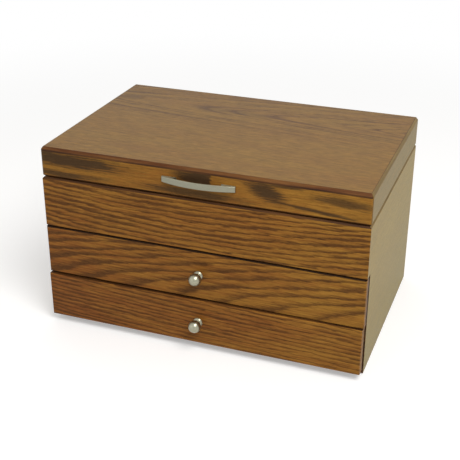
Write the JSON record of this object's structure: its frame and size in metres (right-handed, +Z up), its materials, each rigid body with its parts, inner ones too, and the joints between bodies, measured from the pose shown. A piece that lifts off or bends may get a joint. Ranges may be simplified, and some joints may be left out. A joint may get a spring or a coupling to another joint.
{
  "type": "ring box",
  "caption": "Stained wooden ring box: a hinged lid with mirror and bow handle over a velvet ring tray, and overlay-front drawers with ball knobs below.",
  "frame": {"origin": "middle of the case's footprint, on the surface that the box stands on", "axes": "+X to the right seen from the front, +Y from the drawers to the hinges, +Z up"},
  "size_m": [0.305, 0.2227, 0.1791],
  "materials": {
    "stained_oak": "stained and lacquered oak veneer",
    "drawer_wood": "plain stained softwood, matt",
    "velvet": "sand-coloured short-pile velvet over foam or board",
    "felt": "pressed felt",
    "satin_nickel": "satin nickel plate on zinc",
    "hinge_brass": "brass plated steel sheet",
    "steel_screws": "zinc plated",
    "mirror_glass": "silvered glass, bevelled edge"
  },
  "bodies": {
    "case": {"back_panel": "stained_oak", "base_felt": "felt", "base_panel": "drawer_wood", "case_hinge_screws": "steel_screws", "drawer_shelf": "drawer_wood", "hinge_pins": "hinge_brass", "left_hinge_case_leaf": "hinge_brass", "left_side_panel": "stained_oak", "right_hinge_case_leaf": "hinge_brass", "right_side_panel": "stained_oak", "tray_cross_divider": "velvet", "tray_floor": "drawer_wood", "tray_floor_lining": "velvet", "tray_long_divider": "velvet", "tray_ring_roll_1": "velvet", "tray_ring_roll_2": "velvet", "tray_ring_roll_3": "velvet", "tray_ring_roll_4": "velvet", "tray_ring_roll_5": "velvet", "tray_wall_lining": "velvet", "upper_front_panel": "stained_oak"},
    "lid": {"left_hinge_lid_leaf": "hinge_brass", "lid_back_rail": "stained_oak", "lid_front_rail": "stained_oak", "lid_hinge_screws": "steel_screws", "lid_left_rail": "stained_oak", "lid_lining": "velvet", "lid_mirror": "mirror_glass", "lid_pull": "satin_nickel", "lid_pull_screws": "steel_screws", "lid_right_rail": "stained_oak", "lid_top_panel": "stained_oak", "right_hinge_lid_leaf": "hinge_brass"},
    "upper_drawer": {"upper_drawer_back": "drawer_wood", "upper_drawer_bottom": "drawer_wood", "upper_drawer_front": "stained_oak", "upper_drawer_inner_front": "drawer_wood", "upper_drawer_knob": "satin_nickel", "upper_drawer_knob_screw": "steel_screws", "upper_drawer_left_side": "drawer_wood", "upper_drawer_lining": "velvet", "upper_drawer_right_side": "drawer_wood", "upper_drawer_ring_roll_1": "velvet", "upper_drawer_ring_roll_2": "velvet", "upper_drawer_ring_roll_3": "velvet", "upper_drawer_ring_roll_4": "velvet", "upper_drawer_ring_roll_5": "velvet", "upper_drawer_ring_roll_6": "velvet", "upper_drawer_ring_roll_7": "velvet"},
    "lower_drawer": {"lower_drawer_back": "drawer_wood", "lower_drawer_bottom": "drawer_wood", "lower_drawer_divider": "velvet", "lower_drawer_front": "stained_oak", "lower_drawer_inner_front": "drawer_wood", "lower_drawer_knob": "satin_nickel", "lower_drawer_knob_screw": "steel_screws", "lower_drawer_left_side": "drawer_wood", "lower_drawer_lining": "velvet", "lower_drawer_right_side": "drawer_wood"}
  },
  "joints": [
    {"name": "lid_hinge", "type": "hinge", "parent": "case", "child": "lid", "pos_m": [0, 0.1027, 0.1502], "axis": [-1, 0, 0], "range_deg": [0, 95]},
    {"name": "upper_drawer_slide", "type": "slide", "parent": "case", "child": "upper_drawer", "axis": [0, -1, 0], "range_m": [-0.001, 0.12]},
    {"name": "lower_drawer_slide", "type": "slide", "parent": "case", "child": "lower_drawer", "axis": [0, -1, 0], "range_m": [-0.0035, 0.1175]}
  ]
}
